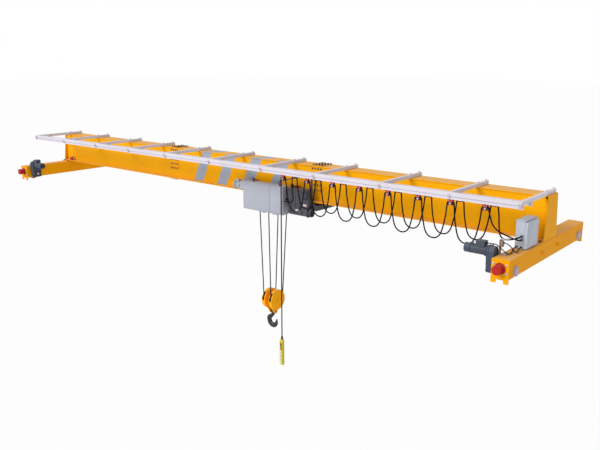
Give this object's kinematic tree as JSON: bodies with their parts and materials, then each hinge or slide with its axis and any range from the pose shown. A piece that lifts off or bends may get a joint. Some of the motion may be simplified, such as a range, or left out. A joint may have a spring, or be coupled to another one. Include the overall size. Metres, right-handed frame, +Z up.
{
  "type": "overhead bridge crane",
  "caption": "Single-girder overhead travelling crane: box girder on wheeled end trucks, underslung hoist trolley with hook block, cable festoon and push-button pendant.",
  "frame": {"origin": "mid-span, on the centre plane of the girder, level with the tops of the runway rails", "axes": "+X along the girder towards the control cabinet, +Y along the runway away from the festoon side, +Z up"},
  "size_m": [10.757, 2.686, 3.15],
  "materials": {
    "bridge_yellow": "satin",
    "truck_yellow": "satin",
    "festoon_grey": "satin",
    "hoist_grey": "satin",
    "cabinet_grey": "satin",
    "motor_blue": "satin",
    "motor_silver": "satin",
    "dark_steel": "satin",
    "signal_red": "satin",
    "buffer_red": "matte",
    "wheel_red": "satin",
    "block_yellow": "gloss",
    "sheave_steel": "satin",
    "hook_steel": "satin",
    "rope_steel": "satin",
    "cable_black": "matte",
    "pendant_yellow": "matte",
    "button_mix": "gloss"
  },
  "bodies": {
    "bridge": {"girder_left": "bridge_yellow", "girder_middle": "bridge_yellow", "girder_right": "bridge_yellow", "girder_closing_plates": "bridge_yellow", "girder_splices": "bridge_yellow", "end_truck_left": "truck_yellow", "end_truck_right": "truck_yellow", "truck_buffers": "buffer_red", "hub_covers": "hoist_grey", "travel_gearcases": "motor_blue", "travel_motors": "motor_blue", "limit_switch_post": "dark_steel", "cabinet_body": "cabinet_grey", "cabinet_fittings": "festoon_grey", "drive_cables": "cable_black", "festoon_arms": "festoon_grey", "festoon_beam": "festoon_grey", "festoon_rails": "festoon_grey", "festoon_clamps": "signal_red", "festoon_cable_front": "cable_black", "festoon_cable_rear": "cable_black", "trolley_stops": "signal_red"},
    "door": {"cabinet_door": "cabinet_grey"},
    "trolley": {"trolley_frame": "dark_steel", "trolley_drive": "motor_silver", "hoist_panel": "hoist_grey", "counterweight": "dark_steel", "rope_drum": "sheave_steel", "hoist_gearbox": "dark_steel", "hoist_motor": "motor_blue", "return_sheave": "sheave_steel", "hoist_ropes": "rope_steel", "hoist_feed_cable": "cable_black"},
    "hook_block": {"block_covers": "block_yellow", "block_sheaves": "sheave_steel", "block_crosshead": "hook_steel"},
    "hook": {"hook": "hook_steel"},
    "carrier_0": {"festoon_carrier_0": "signal_red", "pendant_cable": "cable_black", "pendant_housing": "pendant_yellow", "pendant_buttons": "button_mix"},
    "carrier_1": {"festoon_carrier_1": "signal_red"},
    "carrier_2": {"festoon_carrier_2": "signal_red"},
    "carrier_3": {"festoon_carrier_3": "signal_red"},
    "carrier_4": {"festoon_carrier_4": "signal_red"},
    "carrier_5": {"festoon_carrier_5": "signal_red"},
    "carrier_6": {"festoon_carrier_6": "signal_red"},
    "wheel_left_near": {"bridge_wheel_left_near": "wheel_red"},
    "wheel_left_far": {"bridge_wheel_left_far": "wheel_red"},
    "wheel_right_near": {"bridge_wheel_right_near": "wheel_red"},
    "wheel_right_far": {"bridge_wheel_right_far": "wheel_red"},
    "trolley_wheel_near_0_body": {"trolley_wheel_near_0": "wheel_red"},
    "trolley_wheel_far_0_body": {"trolley_wheel_far_0": "wheel_red"},
    "trolley_wheel_near_1_body": {"trolley_wheel_near_1": "wheel_red"},
    "trolley_wheel_far_1_body": {"trolley_wheel_far_1": "wheel_red"}
  },
  "joints": [
    {"name": "wheel_left_near_roll", "type": "hinge", "parent": "bridge", "child": "wheel_left_near", "pos_m": [-5.25, -1.055, 0.1], "axis": [1, 0, 0], "continuous": true},
    {"name": "wheel_left_far_roll", "type": "hinge", "parent": "bridge", "child": "wheel_left_far", "pos_m": [-5.25, 1.055, 0.1], "axis": [1, 0, 0], "continuous": true},
    {"name": "wheel_right_near_roll", "type": "hinge", "parent": "bridge", "child": "wheel_right_near", "pos_m": [5.25, -1.055, 0.1], "axis": [1, 0, 0], "continuous": true},
    {"name": "wheel_right_far_roll", "type": "hinge", "parent": "bridge", "child": "wheel_right_far", "pos_m": [5.25, 1.055, 0.1], "axis": [1, 0, 0], "continuous": true},
    {"name": "door_hinge", "type": "hinge", "parent": "bridge", "child": "door", "pos_m": [5.313, -0.36, 0.43], "axis": [0, 0, 1], "range_deg": [0, 110]},
    {"name": "trolley_travel", "type": "slide", "parent": "bridge", "child": "trolley", "axis": [1, 0, 0], "range_m": [-4.3, 2.1]},
    {"name": "trolley_wheel_near_0_roll", "type": "hinge", "parent": "trolley", "child": "trolley_wheel_near_0_body", "pos_m": [0.44, -0.2, 0.3843], "axis": [0, 1, 0], "continuous": true},
    {"name": "trolley_wheel_far_0_roll", "type": "hinge", "parent": "trolley", "child": "trolley_wheel_far_0_body", "pos_m": [0.44, 0.2, 0.3843], "axis": [0, 1, 0], "continuous": true},
    {"name": "trolley_wheel_near_1_roll", "type": "hinge", "parent": "trolley", "child": "trolley_wheel_near_1_body", "pos_m": [1.36, -0.2, 0.3843], "axis": [0, 1, 0], "continuous": true},
    {"name": "trolley_wheel_far_1_roll", "type": "hinge", "parent": "trolley", "child": "trolley_wheel_far_1_body", "pos_m": [1.36, 0.2, 0.3843], "axis": [0, 1, 0], "continuous": true},
    {"name": "lift", "type": "slide", "parent": "trolley", "child": "hook_block", "axis": [0, 0, 1], "range_m": [-4, 1.2], "deforming": ["hoist_ropes"]},
    {"name": "hook_swivel", "type": "hinge", "parent": "hook_block", "child": "hook", "pos_m": [0.635, 0, -1.95], "axis": [0, 0, 1], "continuous": true},
    {"name": "carrier_6_slide", "type": "slide", "parent": "bridge", "child": "carrier_6", "axis": [1, 0, 0], "range_m": [-0.62, 0.305], "deforming": ["festoon_cable_front", "festoon_cable_rear"]},
    {"name": "carrier_5_slide", "type": "slide", "parent": "carrier_6", "child": "carrier_5", "axis": [1, 0, 0], "range_m": [-0.62, 0.305], "deforming": ["festoon_cable_front", "festoon_cable_rear"]},
    {"name": "carrier_4_slide", "type": "slide", "parent": "carrier_5", "child": "carrier_4", "axis": [1, 0, 0], "range_m": [-0.62, 0.305], "deforming": ["festoon_cable_front", "festoon_cable_rear"]},
    {"name": "carrier_3_slide", "type": "slide", "parent": "carrier_4", "child": "carrier_3", "axis": [1, 0, 0], "range_m": [-0.62, 0.305], "deforming": ["festoon_cable_front", "festoon_cable_rear"]},
    {"name": "carrier_2_slide", "type": "slide", "parent": "carrier_3", "child": "carrier_2", "axis": [1, 0, 0], "range_m": [-0.62, 0.305], "deforming": ["festoon_cable_front", "festoon_cable_rear"]},
    {"name": "carrier_1_slide", "type": "slide", "parent": "carrier_2", "child": "carrier_1", "axis": [1, 0, 0], "range_m": [-0.62, 0.305], "deforming": ["festoon_cable_front", "festoon_cable_rear"]},
    {"name": "carrier_0_slide", "type": "slide", "parent": "carrier_1", "child": "carrier_0", "axis": [1, 0, 0], "range_m": [-0.62, 0.305], "deforming": ["festoon_cable_front", "festoon_cable_rear"]}
  ],
  "couplings": [
    {"joint": "carrier_6_slide", "follows": "trolley_travel", "ratio": 0.14286},
    {"joint": "carrier_5_slide", "follows": "trolley_travel", "ratio": 0.14286},
    {"joint": "carrier_4_slide", "follows": "trolley_travel", "ratio": 0.14286},
    {"joint": "carrier_3_slide", "follows": "trolley_travel", "ratio": 0.14286},
    {"joint": "carrier_2_slide", "follows": "trolley_travel", "ratio": 0.14286},
    {"joint": "carrier_1_slide", "follows": "trolley_travel", "ratio": 0.14286},
    {"joint": "carrier_0_slide", "follows": "trolley_travel", "ratio": 0.14286}
  ]
}
